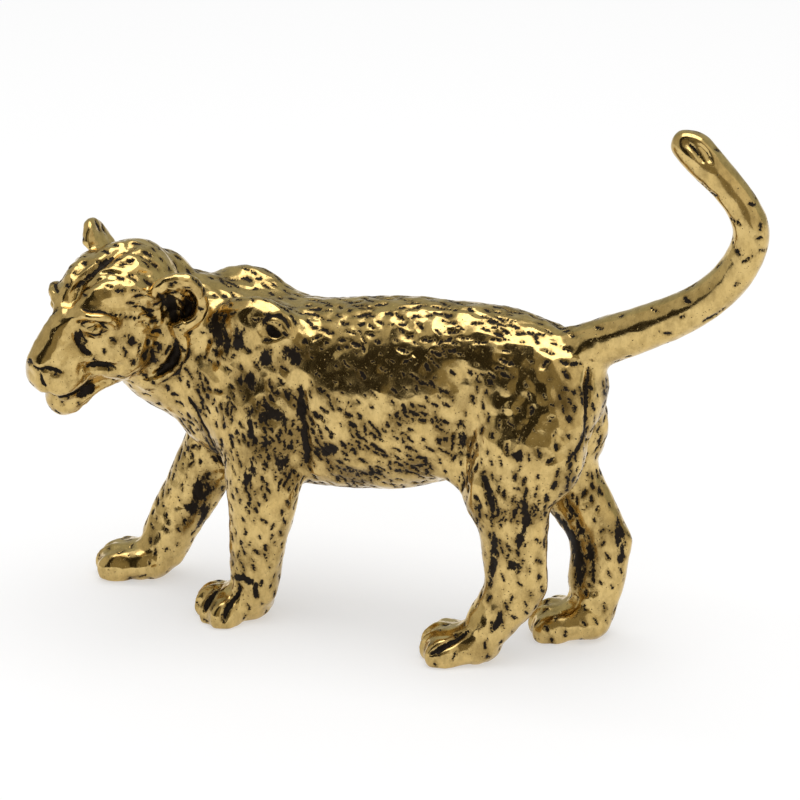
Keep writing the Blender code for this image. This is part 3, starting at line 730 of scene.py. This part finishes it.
brass = {
    "gold": "#DDC284",
    "warm": "#CDAD69",
    "tarnishAndShade": "#8A7243",
    "patinaAndShade": "#20170D",
    "polish": 0.13,
    "tarnishRoughness": 0.3,
    "patinaRoughness": 0.6,
    "patinaMetal": 0.7,
    "grain": (0.22, 3, 0.6),  # the size of each noise in mm, its detail and its roughness
    "blot": (0.9, 5, 0.68),
    "blotStretch": (1, 1, 0.6),
    "cloud": (2.0, 4, 0.6),
    "ripple": (0.7, 2, 0.5),
    "rippleDepth": (0.5, 0.03),
    "markDepth": (0.7, 0.03),
    "ragged": -0.45,
    "markEdge": (-0.14, -0.2),
    "rimEdge": (0.08, -0.2),
    "rimBrown": 0.55,
    "blotInGrimeAndShade": 1.3,
    "grimeAndShadeEdge": (1.12, 1.2),
    "stainAndShadeInSpecks": 0.1,
    "speckEdge": (0.665, 0.7),
    "cloudInBrown": 0.4,
    "blotInBrown": 1.3,
    "brownEdge": (0.74, 1.4),
}


def agedBrass():
    # Cast yellow brass, polished by hand: warm, slightly broken gold reflections, brown
    # tarnish round the tooling, and brown-black patina where no cloth ever reached.
    # The same black and brown also paint shade and dark reflections along some drawn lines.
    material = bpy.data.materials.new("agedBrass")
    material.use_nodes = True
    tree = material.node_tree
    shader = tree.nodes["Principled BSDF"]
    place = node(tree, "ShaderNodeTexCoord").outputs["Object"]
    dash, grimeAndShade, stainAndShade = (
        node(tree, "ShaderNodeAttribute", attribute_name=name).outputs["Fac"] for name in ("dash", "grimeAndShade", "stainAndShade")
    )
    grain = noise(tree, place, *brass["grain"])
    cloud = noise(tree, place, *brass["cloud"])
    drawn = node(tree, "ShaderNodeMapping", {"Scale": brass["blotStretch"]}, {"Vector": place}).outputs[0]
    blot = noise(tree, drawn, *brass["blot"])
    # The edge of each mark is ragged: the grain moves it in or out by up to 0.07 mm.
    ragged = timesPlus(tree, grain, brass["ragged"], dash)
    inMark = span(tree, ragged, brass["markEdge"], interpolation_type="SMOOTHSTEP")
    rim = span(tree, ragged, brass["rimEdge"])
    # This black is patina in real grooves and painted shade and painted dark reflections along the lines marked so.
    dirtyAndShaded = timesPlus(tree, blot, brass["blotInGrimeAndShade"], grimeAndShade)
    inGrimeAndShade = span(tree, dirtyAndShaded, brass["grimeAndShadeEdge"], interpolation_type="SMOOTHSTEP")
    inSpeck = span(tree, timesPlus(tree, stainAndShade, brass["stainAndShadeInSpecks"], grain), brass["speckEdge"])
    black = most(tree, most(tree, inMark, inGrimeAndShade), inSpeck)
    soft = timesPlus(tree, cloud, brass["cloudInBrown"], stainAndShade)
    soft = timesPlus(tree, blot, brass["blotInBrown"], soft)
    brown = span(tree, soft, brass["brownEdge"])
    brown = timesPlus(tree, rim, brass["rimBrown"], brown, use_clamp=True)
    gold = node(tree, "ShaderNodeMix", {"A": linear(brass["gold"]), "B": linear(brass["warm"])},
                {"Factor": cloud}, data_type="RGBA").outputs["Result"]
    tarnishedAndShaded = node(tree, "ShaderNodeMix", {"B": linear(brass["tarnishAndShade"])}, {"Factor": brown, "A": gold},
                data_type="RGBA").outputs["Result"]
    colour = node(tree, "ShaderNodeMix", {"B": linear(brass["patinaAndShade"])}, {"Factor": black, "A": tarnishedAndShaded},
                  data_type="RGBA").outputs["Result"]
    tree.links.new(colour, shader.inputs["Base Color"])
    tree.links.new(span(tree, black, (0, 1), (1, brass["patinaMetal"])), shader.inputs["Metallic"])
    dull = span(tree, brown, (0, 1), (brass["polish"], brass["tarnishRoughness"]))
    gloss = node(tree, "ShaderNodeMix", {"B": brass["patinaRoughness"]}, {"Factor": black, "A": dull})
    tree.links.new(gloss.outputs["Result"], shader.inputs["Roughness"])
    strength, depth = brass["rippleDepth"]
    wavy = node(tree, "ShaderNodeBump", {"Strength": strength, "Distance": depth * mm},
                {"Height": noise(tree, place, *brass["ripple"])}).outputs[0]
    strength, depth = brass["markDepth"]
    pitted = node(tree, "ShaderNodeBump", {"Strength": strength, "Distance": depth * mm},
                  {"Height": black, "Normal": wavy}, invert=True).outputs[0]
    tree.links.new(pitted, shader.inputs["Normal"])
    return material


# Studio: white floor, a soft light overhead, and five large cloths that only reflections
# see. Sizes are metres, rise and turn are degrees, and turn is counted from the camera.
studio = {
    "floorWidth": 2.4,
    "floor": "#C8C8C8",
    "floorGlow": 0.46,
    "world": (0.6, 1.0),
    "front": {"radius": 0.75, "rise": (1, 66), "turn": (-59, -26), "colour": "#2E2A22"},
    "left": {"radius": 0.8, "rise": (1, 60), "turn": (-125, -59), "colour": "#C9C6BC"},
    "middle": {"radius": 0.8, "rise": (1, 60), "turn": (-26, 14), "colour": "#938A73"},
    "right": {"radius": 0.8, "rise": (1, 60), "turn": (14, 80), "colour": "#E6E2D8"},
    "behind": {"radius": 0.8, "rise": (4, 62), "turn": (80, 235), "colour": "#B4B7AE"},
    "softbox": {"size": 0.42, "height": 0.5, "power": 1.2},
}


def seenDirectly(tree):  # 1 for rays from the camera, reflections and glass
    path = node(tree, "ShaderNodeLightPath")
    first = most(tree, path.outputs["Is Camera Ray"], path.outputs["Is Glossy Ray"])
    return most(tree, first, path.outputs["Is Transmission Ray"])


def hangCloth(name):  # part of a large sphere round the model, which only reflections see
    cloth = studio[name]
    bpy.ops.mesh.primitive_uv_sphere_add(segments=96, ring_count=60, radius=cloth["radius"])
    screen = bpy.context.object
    screen.name = name + "Cloth"
    shape = bmesh.new()
    shape.from_mesh(screen.data)
    gone = []
    for face in shape.faces:
        c = face.calc_center_median()
        rise = math.degrees(math.asin(max(-1, min(1, c.z / c.length))))
        turn = math.degrees(math.atan2(c.x, -c.y)) - photo["azimuth"]
        turn = (turn - cloth["turn"][0]) % 360 + cloth["turn"][0]
        if not (cloth["rise"][0] < rise < cloth["rise"][1] and turn < cloth["turn"][1]):
            gone.append(face)
    bmesh.ops.delete(shape, geom=gone, context="FACES")
    shape.to_mesh(screen.data)
    shape.free()
    dull = bpy.data.materials.new(name + "Cloth")
    dull.use_nodes = True
    tree = dull.node_tree  # it shines evenly, so it looks the same from every side
    tree.nodes.remove(tree.nodes["Principled BSDF"])
    shade = node(tree, "ShaderNodeEmission", {"Color": linear(cloth["colour"]), "Strength": 1})
    tree.links.new(shade.outputs[0], tree.nodes["Material Output"].inputs["Surface"])
    screen.data.materials.append(dull)
    screen.visible_camera = False
    screen.visible_diffuse = False
    screen.visible_shadow = False
    screen.visible_transmission = False


def makeStudio():
    scene = bpy.context.scene
    scene.view_settings.view_transform = "Standard"
    world = bpy.data.worlds.new("studio")
    scene.world = world
    world.use_nodes = True
    tree = world.node_tree
    low, high = studio["world"]
    strength = span(tree, seenDirectly(tree), (0, 1), (low, high))
    tree.links.new(strength, tree.nodes["Background"].inputs["Strength"])
    tree.nodes["Background"].inputs["Color"].default_value = (1, 1, 1, 1)

    bpy.ops.mesh.primitive_plane_add(size=studio["floorWidth"])
    floor = bpy.context.object
    floor.name = "floor"
    material = bpy.data.materials.new("whiteCard")
    material.use_nodes = True
    tree = material.node_tree
    shader = tree.nodes["Principled BSDF"]
    shader.inputs["Base Color"].default_value = linear(studio["floor"])
    shader.inputs["Roughness"].default_value = 1
    shader.inputs["Specular IOR Level"].default_value = 0
    shader.inputs["Emission Color"].default_value = (1, 1, 1, 1)
    seen = seenDirectly(tree)
    glow = node(tree, "ShaderNodeMath", {1: studio["floorGlow"]}, {0: seen}, operation="MULTIPLY")
    tree.links.new(glow.outputs[0], shader.inputs["Emission Strength"])
    floor.data.materials.append(material)
    for name in ("front", "left", "middle", "right", "behind"):
        hangCloth(name)

    softbox = studio["softbox"]
    bpy.ops.object.light_add(type="AREA", location=(0, 0, softbox["height"]))
    lamp = bpy.context.object
    lamp.name = "softbox"
    lamp.data.shape = "SQUARE"
    lamp.data.size = softbox["size"]
    lamp.data.energy = softbox["power"]


makeCamera()
skin = makeSkin()
table = opened(skin)
smoothBody(table)
workSurface(table)
drawLines(table)
toolMarks(table)
gatherPatina(table)
lightened(table)
skin.data.materials.append(agedBrass())
finished(skin)
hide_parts("lioness")
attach(skin, "root")
print("skin finished")
makeStudio()
